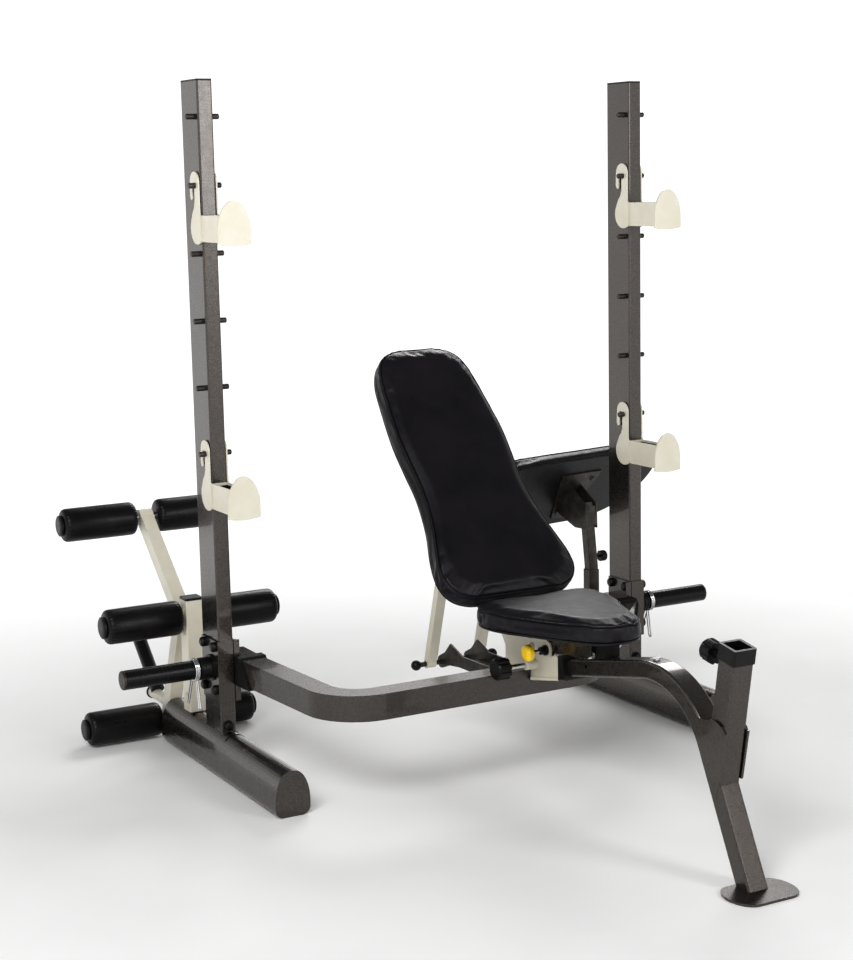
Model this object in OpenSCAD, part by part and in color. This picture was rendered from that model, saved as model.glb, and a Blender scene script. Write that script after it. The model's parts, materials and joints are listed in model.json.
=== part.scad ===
// Olympic incline bench press with stored leg developer and preacher pad.
// X runs across the uprights, -Y points to the seat end, Z is up. Millimetres.

/* [Uprights] */
// Distance between the upright centre lines
upright_gap = 1190; // [1150:5:1250]
// Width of an upright tube, side to side
post_w = 38; // [36:1:40]
// Depth of an upright tube, front to back
post_d = 100; // [98:1:104]
// Top of the upright tubes above the floor
post_top = 1641; // [1600:1:1700]
// Wall of the frame tubes
wall = 2.5; // [2:0.5:3]
// Diameter of a bar-hook peg
peg_dia = 13; // [12:0.5:14]
// Height of the lowest peg
peg_first = 780.6; // [770:0.1:790]
// Distance between pegs up the upright
peg_pitch = 156; // [150:1:160]
// How far a peg stands out of the upright on each side
peg_out = 21.5; // [20:0.5:26]
// Distance of the pegs in front of the upright centre
peg_fwd = 29.5; // [28:0.5:31]

/* [Feet] */
// Width of a foot
foot_w = 86; // [80:1:92]
// Height of a foot at its ridge
foot_h = 107; // [100:1:112]
// Reach of a foot in front of the uprights
foot_front = 410; // [380:5:440]
// Reach of a foot behind the uprights
foot_back = 297; // [280:1:320]

/* [Crossmember] */
// Size of the square crossmember tube
beam = 60; // [56:1:62]
// Underside of the crossmember above the floor
beam_z = 225; // [222:1:228]
// Distance of the crossmember centre in front of the uprights
beam_fwd = 496; // [490:1:500]
// Bend radius of the crossmember centre line
beam_bend = 105; // [90:1:120]

/* [Weight horns] */
// Radius of a weight horn
horn_r = 23; // [22:0.5:25]
// Distance from the middle of the bench to a horn tip
horn_tip = 845; // [820:5:880]

/* [Bench] */
// Incline of the backrest in degrees
recline = 47.76; // [45:0.01:48]
// Thickness of the backrest pad
back_t = 50; // [40:1:50]
// Thickness of the seat pad
seat_t = 48; // [40:1:48]
// Slope of the spine in degrees
spine_slope = 12; // [11.5:0.5:12.5]
// Radius of the gooseneck bend, on the tube centre line
goose_r = 200; // [190:5:210]

/* [Attachments] */
// Radius of a foam roller
roller_r = 43; // [38:1:43]
// Length of a foam roller
roller_len = 197; // [180:1:200]
// Length of the preacher pad
curl_len = 616; // [580:2:620]
// Turn of the preacher pad about its post, in degrees
curl_yaw = 10.5; // [8:0.5:12]

/* [Hidden] */

// Middle of the whole machine's box, measured from the midpoint between the uprights
middle_x = 22.256;
middle_y = -387.691;

frame_grey = [0.33, 0.31, 0.29];
cream = [0.90, 0.87, 0.78];
black = [0.07, 0.07, 0.07];
chrome = [0.75, 0.76, 0.78];
steel = [0.42, 0.41, 0.40];
vinyl = [0.13, 0.12, 0.14];
foam = [0.09, 0.08, 0.08];
yellow = [0.98, 0.80, 0.10];

post_x = upright_gap / 2;
peg_r = peg_dia / 2;
run_gap = 0.05;
body_gap = 0.4;

// Outline helpers

function arc(cx, cy, r, from, to, steps = 6) =
  [for (i = [0:steps]) let (a = from + (to - from) * i / steps) [cx + r * cos(a), cy + r * sin(a)]];

function round_rect(w, d, r, steps = 4) = concat(
  arc(w / 2 - r, d / 2 - r, r, 0, 90, steps), arc(r - w / 2, d / 2 - r, r, 90, 180, steps),
  arc(r - w / 2, r - d / 2, r, 180, 270, steps), arc(w / 2 - r, r - d / 2, r, 270, 360, steps));

function spline_point(a, b, c, d, t) =
  0.5 * (2 * b + (c - a) * t + (2 * a - 5 * b + 4 * c - d) * t * t + (3 * b - a - 3 * c + d) * t * t * t);

// Smooth closed curve through the given points
function smooth(p, steps = 5) = [for (i = [0:len(p) - 1]) for (k = [0:steps - 1])
  spline_point(p[(i + len(p) - 1) % len(p)], p[i], p[(i + 1) % len(p)], p[(i + 2) % len(p)], k / steps)];

// Whole outline from its right half, which starts and ends on the centre line
function both_halves(half) = concat(half, [for (i = [len(half) - 2:-1:1]) [-half[i][0], half[i][1]]]);

function mirrored(points) = [for (p = points) [-p[0], p[1]]];
function reversed(points) = [for (i = [len(points) - 1:-1:0]) points[i]];

module place() { translate([-middle_x, -middle_y, 0]) children(); }
module both_sides() { for (side = [0, 1]) mirror([side, 0, 0]) children(); }
module block(x0, x1, y0, y1, z0, z1) { translate([x0, y0, z0]) cube([x1 - x0, y1 - y0, z1 - z0]); }
module rod_x(x0, x1, y, z, r) {
  translate([x0, y, z]) rotate([0, 90, 0]) cylinder(h = x1 - x0, r = r, $fn = 64);
}
// Plate whose outline is given in the YZ plane
module side_plate(x0, x1, outline) {
  translate([x0, 0, 0]) rotate([90, 0, 90]) linear_extrude(x1 - x0) polygon(outline);
}
// Straight piece along the direction that leans by the given angle from +Z towards -Y
module leaning(y, z, lean) { translate([0, y, z]) rotate([lean, 0, 0]) children(); }
module tube(w, d, r, t, length) {
  linear_extrude(length) difference() {
    polygon(round_rect(w, d, r));
    polygon(round_rect(w - 2 * t, d - 2 * t, max(r - t, 1)));
  }
}
module bar(w, d, r, length) { linear_extrude(length) polygon(round_rect(w, d, r)); }
// Round black cap with a domed face, base at the origin, along +Z
module domed_cap(r, h) {
  cylinder(h = h * 0.6, r = r, $fn = 48);
  translate([0, 0, h * 0.6]) cylinder(h = h * 0.25, r1 = r, r2 = r * 0.86, $fn = 48);
  translate([0, 0, h * 0.85]) cylinder(h = h * 0.15, r1 = r * 0.86, r2 = r * 0.6, $fn = 48);
}
// Hand knob with round flutes, base at the origin, along +Z
module fluted_knob(r, h, flutes) {
  difference() {
    union() {
      cylinder(h = h * 0.85, r = r, $fn = 64);
      translate([0, 0, h * 0.85]) cylinder(h = h * 0.15, r1 = r, r2 = r * 0.88, $fn = 64);
    }
    for (i = [0:flutes - 1]) rotate([0, 0, i * 360 / flutes]) translate([r * 1.1, 0, -1])
      cylinder(h = h + 2, r = r * 0.22, $fn = 24);
  }
}

// Feet and uprights

foot_corner = 20;
foot_shoulder = 34;
foot_arch = 0.85;
function foot_outline(inset) = concat(
  arc(foot_w / 2 - foot_corner, foot_corner, foot_corner - inset, -90, 0, 5),
  [for (a = [0:7.5:180]) [sign(cos(a)) * pow(abs(cos(a)), foot_arch) * (foot_w / 2 - inset),
    foot_shoulder + sin(a) * (foot_h - foot_shoulder - inset)]],
  arc(foot_corner - foot_w / 2, foot_corner, foot_corner - inset, 180, 270, 5));

module foot_solid(inset, front, back) {
  translate([-post_x, back, 0]) rotate([90, 0, 0]) linear_extrude(front + back)
    polygon(foot_outline(inset));
}
module feet() {
  color(frame_grey) place() both_sides() difference() {
    foot_solid(0, foot_front, foot_back);
    foot_solid(wall, foot_front - 3, foot_back - 3);
  }
}

clamp_low = 180;
clamp_high = 330;
bolt_rows = [210, 316];
bolt_cols = [-38, 27];
bolt_r = 5;
module clamp_bolt_axes(x0, x1, r) { for (z = bolt_rows) for (y = bolt_cols) rod_x(x0, x1, y, z, r); }

peg_count = 6;
function peg_z(i) = peg_first + peg_pitch * i;
module peg_axes(x0, x1, r) { for (i = [0:peg_count - 1]) rod_x(x0, x1, -peg_fwd, peg_z(i), r); }

module uprights() {
  color(frame_grey) place() both_sides() difference() {
    translate([-post_x, 0, 60]) tube(post_w, post_d, 4, wall, post_top - 60);
    foot_solid(0, foot_front, foot_back);
    peg_axes(-post_x - post_w, -post_x + post_w, peg_r);
    clamp_bolt_axes(-post_x - post_w, -post_x + post_w, bolt_r);
  }
}
module pegs() {
  color(steel) place() both_sides() for (i = [0:peg_count - 1]) {
    half = post_w / 2 + peg_out;
    translate([-post_x - half, -peg_fwd, peg_z(i)]) rotate([0, 90, 0]) {
      cylinder(h = 1.5, r1 = peg_r - 1.5, r2 = peg_r, $fn = 64);
      translate([0, 0, 1.5]) cylinder(h = 2 * half - 3, r = peg_r, $fn = 64);
      translate([0, 0, 2 * half - 1.5]) cylinder(h = 1.5, r1 = peg_r, r2 = peg_r - 1.5, $fn = 64);
    }
  }
}

// Crossmember: a bent square tube. Its left arm runs forward, its right arm runs diagonally,
// and both ends are clamped beside the uprights

arm_x = 541;
arm_end = 40;
arm_knee = -75;
left_splay = 4.1;
right_splay = 44;
function bend_x(splay) =
  arm_x - (beam_fwd + arm_knee) * tan(splay) - beam_bend * tan((90 - splay) / 2);

// One arm in plan, offset outwards from the tube's centre line, drawn on the right
function beam_arm(offset, splay) = concat(
  [[arm_x + offset, arm_end], [arm_x + offset, arm_knee - offset * tan(splay / 2)]],
  arc(bend_x(splay), beam_bend - beam_fwd, beam_bend + offset, -splay, -90, 24));

module beam_solid(inset) {
  half = beam / 2 - inset;
  translate([0, 0, beam_z + inset]) linear_extrude(2 * half) polygon(concat(
    beam_arm(half, right_splay), mirrored(reversed(beam_arm(half, left_splay))),
    mirrored(beam_arm(-half, left_splay)), reversed(beam_arm(-half, right_splay))));
}
module crossmember() {
  color(frame_grey) place() difference() {
    beam_solid(0);
    beam_solid(3);
    both_sides() block(-arm_x - beam / 2 + 3, -arm_x + beam / 2 - 3, 0, arm_end + 1,
      beam_z + 3, beam_z + beam - 3);
  }
}
// Rubber boots where the arms leave the clamps, with a slanted front edge
module arm_boots() {
  boot_t = 5;
  low = beam_z - boot_t - 1;
  high = beam_z + beam + boot_t + 1;
  color(black) place() difference() {
    intersection() {
      beam_solid(-boot_t);
      side_plate(-700, 700, [[-54, low], [-54, high], [-79, high], [-127, low]]);
    }
    beam_solid(0);
  }
}

// Clamp brackets: an outer channel and an inner jaw round each upright

module clamp_brackets() {
  color(frame_grey) place() both_sides() difference() {
    union() {
      block(-post_x - 23, -post_x - 19, -post_d / 2, 45, clamp_low, clamp_high);
      block(-post_x - 23, -post_x + 17, -post_d / 2 - 4, -post_d / 2, clamp_low, clamp_high);
      block(-post_x + 19, -post_x + 24, -post_d / 2 - 4, 45, clamp_low, clamp_high);
      block(-post_x + 19, -post_x + 33, -post_d / 2 - 4, -post_d / 2, clamp_low, clamp_high);
    }
    beam_solid(0);
    clamp_bolt_axes(-post_x - 30, -post_x + 30, bolt_r);
  }
}
module frame_bolts() {
  color(chrome) place() {
    both_sides() for (z = bolt_rows) for (y = bolt_cols) {
      rod_x(-post_x - 31, -post_x + 32, y, z, bolt_r);
      translate([-post_x - 29, y, z]) rotate([0, 90, 0]) cylinder(h = 6, r = 8.6, $fn = 6);
      translate([-post_x + 24, y, z]) rotate([0, 90, 0]) cylinder(h = 6, r = 8.6, $fn = 6);
    }
    at_spine_bolt() {
      cylinder(h = 5, r = 8.6, $fn = 6);
      translate([0, 0, -8]) cylinder(h = 9, r = 4, $fn = 32);
    }
  }
}
module bolt_caps() {
  color(black) place() both_sides() for (z = bolt_rows) for (y = bolt_cols) difference() {
    union() {
      translate([-post_x - 23, y, z]) rotate([0, -90, 0]) domed_cap(12, 12);
      translate([-post_x + 24, y, z]) rotate([0, 90, 0]) domed_cap(12, 12);
    }
    rod_x(-post_x - 31, -post_x + 32, y, z, 8.7);
  }
}
module tube_end_caps() {
  color(black) place() both_sides() {
    translate([-post_x, 0, post_top]) bar(post_w, post_d, 4, 4);
    translate([-post_x, 0, post_top - 20]) bar(post_w - 2 * wall, post_d - 2 * wall, 2, 20);
    block(-arm_x - beam / 2, -arm_x + beam / 2, arm_end, arm_end + 3, beam_z, beam_z + beam);
    block(-arm_x - beam / 2 + 3, -arm_x + beam / 2 - 3, arm_end - 15, arm_end,
      beam_z + 3, beam_z + beam - 3);
  }
}

// Weight horns on the outer clamp plates

horn_y = -10;
horn_z = 260;
horn_base = post_x + 23;
// Where the slimmer root of the horn ends, just outside the spring clip
horn_shoulder = horn_base + 56;
module weight_horns() {
  color(black) place() both_sides() difference() {
    union() {
      rod_x(-horn_tip + 5, -horn_shoulder, horn_y, horn_z, horn_r);
      rod_x(-horn_shoulder - 1, -horn_base, horn_y, horn_z, horn_r - 1);
    }
    rod_x(-horn_tip + 4, -horn_base - 4, horn_y, horn_z, horn_r - 3);
  }
}
module horn_collars() {
  color(black) place() both_sides() difference() {
    union() {
      rod_x(-horn_base - 34, -horn_base, horn_y, horn_z, horn_r + 2.5);
      rod_x(-horn_base - 5, -horn_base, horn_y, horn_z, horn_r + 9);
      for (x = [-32:9:-14]) rod_x(x - horn_base, x + 4 - horn_base, horn_y, horn_z, horn_r + 4);
    }
    rod_x(-horn_base - 40, -horn_base + 1, horn_y, horn_z, horn_r - 1);
  }
}
module horn_end_caps() {
  color(steel) place() both_sides() {
    rod_x(-horn_tip, -horn_tip + 1.5, horn_y, horn_z, horn_r - 1.5);
    rod_x(-horn_tip + 1.5, -horn_tip + 5, horn_y, horn_z, horn_r);
    rod_x(-horn_tip + 5, -horn_tip + 25, horn_y, horn_z, horn_r - 3);
  }
}
// Spring collar: three turns of wire and two hanging finger loops
clip_wire = 2.2;
clip_x = horn_base + 40;
module finger_loop(offset, swing) {
  loop_w = 5;
  reach = 98;
  start = horn_r + clip_wire;
  translate([-clip_x - offset, horn_y, horn_z]) rotate([swing, 0, 0]) {
    for (y = [-loop_w, loop_w]) translate([0, y, loop_w - reach])
      cylinder(h = reach - loop_w - start, r = clip_wire, $fn = 24);
    translate([0, 0, loop_w - reach]) rotate([0, -90, 0]) rotate([0, 0, 90])
      rotate_extrude(angle = 180, $fn = 48) translate([loop_w, 0]) circle(r = clip_wire, $fn = 24);
  }
}
module clip() {
  for (i = [0:2]) translate([-clip_x - i * 4, horn_y, horn_z]) rotate([0, 90, 0])
    rotate_extrude($fn = 96) translate([horn_r + clip_wire + body_gap, 0]) circle(r = clip_wire, $fn = 24);
  finger_loop(8, 24);
  finger_loop(0, -10);
}
module left_clip() { color(chrome) place() clip(); }
module right_clip() { color(chrome) place() mirror([1, 0, 0]) clip(); }

// Spine: a sloping tube that bends down into the front leg

spine_w = 50;
spine_d = 40;
spine_ref = [-796, 345.5];
leg_foot = [-1295.5, 2];
leg_lean = 26.3;
spine_rise = spine_d / 2 / cos(spine_slope);
goose_turn = 90 + spine_slope - leg_lean;
function spine_z(y) = spine_ref[1] + (spine_ref[0] - y) * tan(spine_slope);
// Where the spine and leg centre lines would meet
peak_t = (spine_z(leg_foot[0]) - leg_foot[1]) / (cos(leg_lean) + sin(leg_lean) * tan(spine_slope));
peak = [leg_foot[0] + peak_t * sin(leg_lean), leg_foot[1] + peak_t * cos(leg_lean)];
goose_cut = goose_r * tan(goose_turn / 2);
goose_start = [peak[0] + goose_cut * cos(spine_slope), peak[1] - goose_cut * sin(spine_slope)];
goose_mid = [goose_start[0] - goose_r * sin(spine_slope), goose_start[1] - goose_r * cos(spine_slope)];
leg_start = [peak[0] - goose_cut * sin(leg_lean), peak[1] - goose_cut * cos(leg_lean)];
spine_rear = -530;
plate_t = 5;
spine_hole = [-739, 337];
lap = 1;
spine_bolt_y = -976;
module at_spine_bolt() {
  leaning(spine_bolt_y, spine_z(spine_bolt_y), -spine_slope) translate([0, 0, spine_d / 2]) children();
}

module spine_solid(inset) {
  w = spine_w - 2 * inset;
  d = spine_d - 2 * inset;
  r = 5 - inset;
  leaning(goose_start[0], goose_start[1], -90 - spine_slope) translate([0, 0, -lap])
    bar(w, d, r, (spine_rear - goose_start[0]) / cos(spine_slope) + lap);
  translate([0, goose_mid[0], goose_mid[1]]) rotate([90, 0, 90]) rotate([0, 0, 90 - spine_slope])
    rotate_extrude(angle = goose_turn, $fn = 144) translate([goose_r, 0]) polygon(round_rect(d, w, r));
  leaning(leg_start[0], leg_start[1], 180 - leg_lean) translate([0, 0, -lap])
    bar(w, d, r, leg_start[1] / cos(leg_lean) + 20);
}
module spine() {
  color(frame_grey) place() difference() {
    spine_solid(0);
    spine_solid(wall);
    block(-40, 40, -1400, -1200, -60, plate_t);
    rod_x(-40, 40, spine_hole[0], spine_hole[1], 5);
    at_spine_bolt() translate([0, 0, -10]) cylinder(h = 20, r = 4, $fn = 32);
  }
}
module foot_plate() {
  color(frame_grey) place() linear_extrude(plate_t)
    polygon([for (s = [1, -1]) for (a = [-90:15:90]) [s * (42 + 36 * cos(a)), -1318 + s * 54 * sin(a)]]);
}

// Plastic sleeve between the spine and its socket
module sleeve_shape(w, d, y0, y1) {
  leaning(y0, spine_z(y0), -90 - spine_slope) bar(w, d, 3, (y1 - y0) / cos(spine_slope));
}
socket_front = -641;
sleeve_w = 62;
sleeve_d = 48;
module sleeve_space() { sleeve_shape(sleeve_w, sleeve_d, -660, -527); }
module spine_sleeve() {
  color(black) place() difference() {
    union() {
      sleeve_shape(sleeve_w, sleeve_d, -655, -535);
      difference() {
        sleeve_shape(sleeve_w + 8, sleeve_d + 8, -664, -630);
        block(-50, 50, socket_front, -600, 200, 500);
      }
    }
    spine_solid(0);
  }
}

// Welded socket: two cheeks over the crossmember, with ears for the hinge pins

cheek_in = 31;
cheek_out = 35.5;
back_axis = [-391, 375];
seat_axis = [-535, 342];
pin_at = [-593, 345];
screw_at = [-545, 303];

module cheek() {
  side_plate(cheek_in, cheek_out, [
    [-414, 248], [-414, 320], [-377, 368], [-377, 381], [-384, 389], [-397, 389], [-432, 372],
    [-500, 362], [-523, 358], [-560, 366], [-588, 371], [-606, 364], [-612, 350], [-612, 334],
    [-632, 342], [-641, 338], [-641, 288], [-526, 263], [-526, 285], [-466, 285], [-466, 248]]);
}
module spine_socket() {
  color(cream) place() difference() {
    union() {
      both_sides() cheek();
      intersection() {
        sleeve_shape(80, 56, -645, -526);
        side_plate(-40, 40, [[socket_front, 240], [-526, 240], [-526, 268],
          [socket_front, spine_z(socket_front) - 23]]);
      }
      side_plate(-cheek_in, cheek_in, [[socket_front, 336], [-620, 334], [-620, 342], [socket_front, 344]]);
      block(-cheek_in, cheek_in, -466, -461, 250, 320);
      rod_x(-62, -cheek_out, screw_at[0], screw_at[1], 12);
    }
    sleeve_space();
    rod_x(-50, 50, back_axis[0], back_axis[1], 6);
    rod_x(-50, 50, seat_axis[0], seat_axis[1], 5);
    rod_x(-50, 0, pin_at[0], pin_at[1], 4 + run_gap);
    rod_x(-70, 0, screw_at[0], screw_at[1], 6 + run_gap);
  }
}
module bench_pins() {
  color(chrome) place() {
    rod_x(-40, 40, back_axis[0], back_axis[1], 6);
    both_sides() rod_x(cheek_out, 42, back_axis[0], back_axis[1], 10);
    rod_x(-40, 40, seat_axis[0], seat_axis[1], 5);
    both_sides() rod_x(cheek_out, 41, seat_axis[0], seat_axis[1], 9);
  }
}
module pop_pin_barrel() {
  color(black) place() difference() {
    union() {
      rod_x(-52, -cheek_out, pin_at[0], pin_at[1], 9);
      rod_x(-41, -cheek_out, pin_at[0], pin_at[1], 12);
    }
    rod_x(-60, -30, pin_at[0], pin_at[1], 4 + run_gap);
  }
}
module pop_pin_shaft() { color(chrome) place() rod_x(-80, -cheek_in, pin_at[0], pin_at[1], 4); }
module pop_pin_knob() {
  color(yellow) place() difference() {
    union() {
      translate([-78, pin_at[0], pin_at[1]]) rotate([0, -90, 0]) domed_cap(19, 16);
      rod_x(-78, -72, pin_at[0], pin_at[1], 9);
    }
    rod_x(-80, -70, pin_at[0], pin_at[1], 4);
  }
}
module socket_screw() { color(chrome) place() rod_x(-120, -31.2, screw_at[0], screw_at[1], 6); }
module socket_knob() {
  color(black) place() difference() {
    translate([-112, screw_at[0], screw_at[1]]) rotate([0, -90, 0]) fluted_knob(25, 32, 8);
    rod_x(-120, -100, screw_at[0], screw_at[1], 6);
  }
}

// Receiver post for the leg developer, leaning forward off the front leg

recv_top = [-1238.5, 457];
recv_lean = 9.5;
recv = 51;
recv_knob_drop = 9;
module at_receiver() { leaning(recv_top[0], recv_top[1], recv_lean) children(); }
module at_recv_knob() { at_receiver() translate([0, 0, -recv_knob_drop]) rotate([-90, 0, 0]) children(); }
module receiver_post() {
  color(frame_grey) place() difference() {
    at_receiver() translate([0, 0, -290]) tube(recv, recv, 5, wall, 290);
    spine_solid(0);
    spine_solid(wall);
    side_plate(-40, 40, [[-1295.5, 2], [-1150, 100], [-1100, 340], leg_start]);
    at_recv_knob() cylinder(h = 60, r = 5 + run_gap, $fn = 48);
  }
}
module receiver_gussets() {
  color(frame_grey) place() both_sides() side_plate(recv / 2, recv / 2 + 5, concat(
    [[-1225, 206], [-1245, 311]], arc(-1205, 291, 41, 150, 60, 8),
    arc(goose_mid[0], goose_mid[1], goose_r + spine_d / 2 - 6, 139, 90 - spine_slope + goose_turn, 6),
    [[-1210, 206]]));
}
module receiver_bushing() {
  color(black) place() difference() {
    at_receiver() {
      bar(56, 56, 5, 33);
      translate([0, 0, -60]) bar(recv - 2 * wall, recv - 2 * wall, 2.5, 60);
    }
    at_receiver() translate([0, 0, -61]) bar(41, 41, 1.5, 95);
    at_recv_knob() cylinder(h = 60, r = 5 + run_gap, $fn = 48);
  }
}
module receiver_knob() {
  color(black) place() at_recv_knob() {
    translate([0, 0, 22]) cylinder(h = 50, r = 5, $fn = 48);
    translate([0, 0, 62]) fluted_knob(24, 30, 8);
    translate([0, 0, 30]) cylinder(h = 34, r = 9, $fn = 48);
  }
}

// Storage stubs on the rear of each foot

store_y = 165;
stub = 32;
stub_top = 325;
module storage_stubs() {
  color(steel) place() both_sides() difference() {
    translate([-post_x, store_y, 60]) tube(stub, stub, 2, 2, stub_top - 60);
    foot_solid(0, foot_front, foot_back);
  }
}

// Ladder bracket behind the crossmember, which holds the strut's rod

strut_foot = [-105, 211];
strut_rod_r = 6.5;
module ladder() {
  profile = [[-466, 222], [-466, 252], [-215, 247], [-155, 267], [-128, 240], [-98, 225],
    [-91, 218], [-90, 209], [-95, 200], [-105, 196], [-116, 198], [-150, 211], [-200, 217]];
  color(steel) place() difference() {
    union() {
      both_sides() side_plate(cheek_out, cheek_out + 5, profile);
      block(-cheek_out, cheek_out, -466, -190, 223, 227);
    }
    rod_x(-50, 50, strut_foot[0], strut_foot[1], strut_rod_r + run_gap);
  }
}

// Backrest strut: a U frame hinged on the ladder, its cross tube under the backrest rails

strut_len = 375;
strut_angle = 107.1;
strut_x = 70;
module along_strut() { leaning(strut_foot[0], strut_foot[1], strut_angle - 90) children(); }
// Cross rod of the strut, at the given distance up it
module strut_cross(up, x0, x1, r) {
  translate([x0, 0, up]) rotate([0, 90, 0]) cylinder(h = x1 - x0, r = r, $fn = 48);
}
module strut() {
  color(cream) place() difference() {
    along_strut() {
      both_sides() {
        translate([strut_x - 12.5, -10, 0]) cube([25, 20, strut_len]);
        strut_cross(0, strut_x - 12.5, strut_x + 12.5, 11);
        strut_cross(strut_len, strut_x - 12.5, strut_x + 12.5, 10);
      }
      strut_cross(strut_len, 12 - strut_x, strut_x - 12, 8);
    }
    rod_x(-100, 100, strut_foot[0], strut_foot[1], strut_rod_r);
  }
}
module strut_rod() { color(steel) place() rod_x(-112, 112, strut_foot[0], strut_foot[1], strut_rod_r); }
module strut_rod_caps() {
  color(black) place() both_sides() difference() {
    translate([110, strut_foot[0], strut_foot[1]]) sphere(r = 13, $fn = 48);
    rod_x(90, 112, strut_foot[0], strut_foot[1], strut_rod_r);
  }
}

// Backrest

hinge_s = -33.3;
hinge_drop = 74.8;
back_foot = [back_axis[0] - hinge_s * cos(recline) - hinge_drop * sin(recline),
  back_axis[1] - hinge_s * sin(recline) + hinge_drop * cos(recline)];
// Local frame: Y runs up the backrest, Z points out of its front face
module on_back() { translate([0, back_foot[0], back_foot[1]]) rotate([recline, 0, 0]) children(); }
module backrest_pad() {
  half = [[0, -13], [70, -13], [125, -9], [168, 14], [188, 58], [184, 122], [163, 210], [153, 300],
    [156, 380], [158, 463], [150, 570], [139, 650], [112, 705], [62, 732], [0, 737]];
  color(vinyl) place() on_back() translate([0, 0, -back_t]) linear_extrude(back_t)
    polygon(smooth(both_halves(half)));
}
rail_t = 14;
rail_low = -back_t - rail_t;
// Hinge plate that hangs from the rails down to the hinge pin
hinge_plate = [[hinge_s - 11, -hinge_drop - 8], [hinge_s - 3, -hinge_drop - 13.5],
  [hinge_s + 9, -hinge_drop - 10.5], [70, rail_low + 2], [70, -back_t - 4], [8, -back_t - 2],
  [hinge_s - 10, -hinge_drop + 9]];
module backrest_frame() {
  color(cream) place() difference() {
    union() {
      on_back() {
        both_sides() translate([20, 5, rail_low]) cube([28, 655, rail_t]);
        for (s = [5, 300, 635]) translate([-20.5, s, -back_t - 8]) cube([41, 30, 8]);
        both_sides() side_plate(22, 28, hinge_plate);
      }
      both_sides() rod_x(20, 29, back_axis[0], back_axis[1], 14);
    }
    rod_x(-50, 50, back_axis[0], back_axis[1], 6 + run_gap);
  }
}

// Seat

seat_rear = [-455, 445];
seat_tilt = 1.55;
module on_seat() { translate([0, seat_rear[0], seat_rear[1]]) rotate([-seat_tilt, 0, 0]) children(); }
function seat_under(y) = seat_rear[1] - seat_t / cos(seat_tilt) + (seat_rear[0] - y) * tan(seat_tilt);
module seat_pad() {
  half = [[0, 0], [70, 0], [118, -3], [153, -20], [169, -52], [172, -105], [160, -160], [141, -205],
    [104, -300], [82, -350], [62, -382], [36, -400], [0, -406]];
  color(vinyl) place() on_seat() translate([0, 0, -seat_t]) linear_extrude(seat_t)
    polygon(smooth(both_halves(half)));
}
module seat_bracket() {
  side = [[-505, seat_under(-505)], [-769, seat_under(-769)], [-769, 368], [-740, 354], [-616, 347],
    [-612, 335], [-560, 329], [-535, 328], [-524, 333], [-519, 342]];
  color(frame_grey) place() difference() {
    union() {
      both_sides() side_plate(26, 30, side);
      side_plate(-26, 26, [[-505, seat_under(-505) - 5], [-505, seat_under(-505)],
        [-769, seat_under(-769)], [-769, seat_under(-769) - 5]]);
    }
    rod_x(-50, 50, seat_axis[0], seat_axis[1], 5 + run_gap);
    rod_x(-50, 0, pin_at[0], pin_at[1], 4.5);
  }
}
module seat_stop() {
  gap = spine_rise + body_gap;
  color(black) place() side_plate(-20, 20, [[-769, spine_z(-769) + gap], [-769, seat_under(-769)],
    [-806, seat_under(-806)], [-806, spine_z(-806) + gap]]);
}

// Bar hooks: two swan-necked plates over the pegs, with an open channel in front of the upright

swan_in = 20.5;
swan_out = 24;
hook_seat_r = peg_r + run_gap;
// Outline about the peg, in front-to-back and up-down distances
swan = concat(arc(6, 8, 24.5, 180, 0, 10),
  [[32, -10], [32, -24], [27, -33], [19.5, -31], [7, -36], [11, -50], [22, -62]],
  arc(-1, -98, 37, 35, -105, 8),
  [[-19, -131], [-24.5, -126], [-24.5, -70], [-19, -64], [-18.5, -20]]);
slot_back = 19.5;
module hook_slot() {
  rod_x(-30, 30, 0, 0, hook_seat_r);
  block(-30, 30, 0, slot_back, -hook_seat_r, hook_seat_r);
  block(-30, 30, slot_back - 2 * hook_seat_r, slot_back, -40, 0);
}
channel_low = -128.6;
channel_high = -68;
guard = concat([for (a = [0:10:180]) [40 * cos(a), -98 + 64 * pow(sin(a), 1.1)]],
  [[-40, -118]], arc(0, 40, 176, 256.9, 283.1, 6), [[40, -118]]);
module hook_channel() {
  difference() {
    block(-swan_in, swan_in, -161, peg_fwd - post_d / 2 - 1, channel_low, channel_high);
    block(3 - swan_in, swan_in - 3, -158, peg_fwd - post_d / 2 - 5, channel_low + 12, channel_high + 10);
  }
  translate([0, -160, 0]) rotate([90, 0, 0]) linear_extrude(5) polygon(guard);
}
module hook(level) {
  translate([-post_x, -peg_fwd, peg_z(level)]) {
    difference() {
      both_sides() side_plate(swan_in, swan_out, swan);
      hook_slot();
    }
    hook_channel();
  }
}
module hook_lower_left() { color(cream) place() hook(0); }
module hook_lower_right() { color(cream) place() mirror([1, 0, 0]) hook(0); }
module hook_upper_left() { color(cream) place() hook(4); }
module hook_upper_right() { color(cream) place() mirror([1, 0, 0]) hook(4); }

// Leg developer, stored over the left stub

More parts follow.
